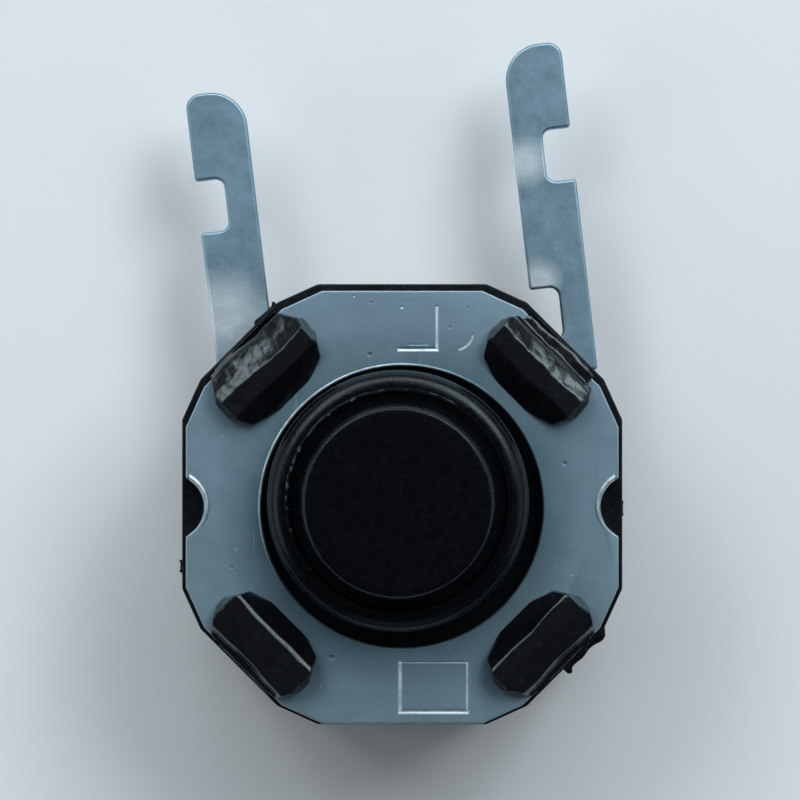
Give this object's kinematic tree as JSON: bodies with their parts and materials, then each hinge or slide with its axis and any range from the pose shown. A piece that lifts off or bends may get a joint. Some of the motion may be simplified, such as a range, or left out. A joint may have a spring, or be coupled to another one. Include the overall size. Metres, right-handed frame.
{
  "type": "tactile push button switch",
  "caption": "Low square tactile push button switch with a round raised button, heat-staked metal cover and two flat solder leads on one side.",
  "frame": {"origin": "centre of the housing's flat underside", "axes": "+Z the way the button points, against its travel; +Y towards the side that the two leads leave from; +X to the right with the leads away from the viewer"},
  "size_m": [0.006, 0.0094, 0.005],
  "materials": {
    "housing_plastic": "moulded black plastic, satin, with rough melted stake heads",
    "cover_metal": "stamped sheet steel, fine matt grain, light handling scratches",
    "button_plastic": "moulded black plastic, smooth satin",
    "spring_metal": "rolled stainless spring sheet, bright",
    "lead_metal": "plated strip, dull satin"
  },
  "bodies": {
    "base": {"housing": "housing_plastic", "cover_plate": "cover_metal", "snap_dome": "spring_metal", "left_terminal": "lead_metal", "right_terminal": "lead_metal"},
    "push_button": {"button": "button_plastic"}
  },
  "joints": [
    {"name": "button_press", "type": "slide", "parent": "base", "child": "push_button", "axis": [0, 0, -1], "range_m": [0, 0.00025], "stiffness_N_per_m": 5000, "springref_m": -0.00006, "deforming": ["snap_dome"]}
  ]
}
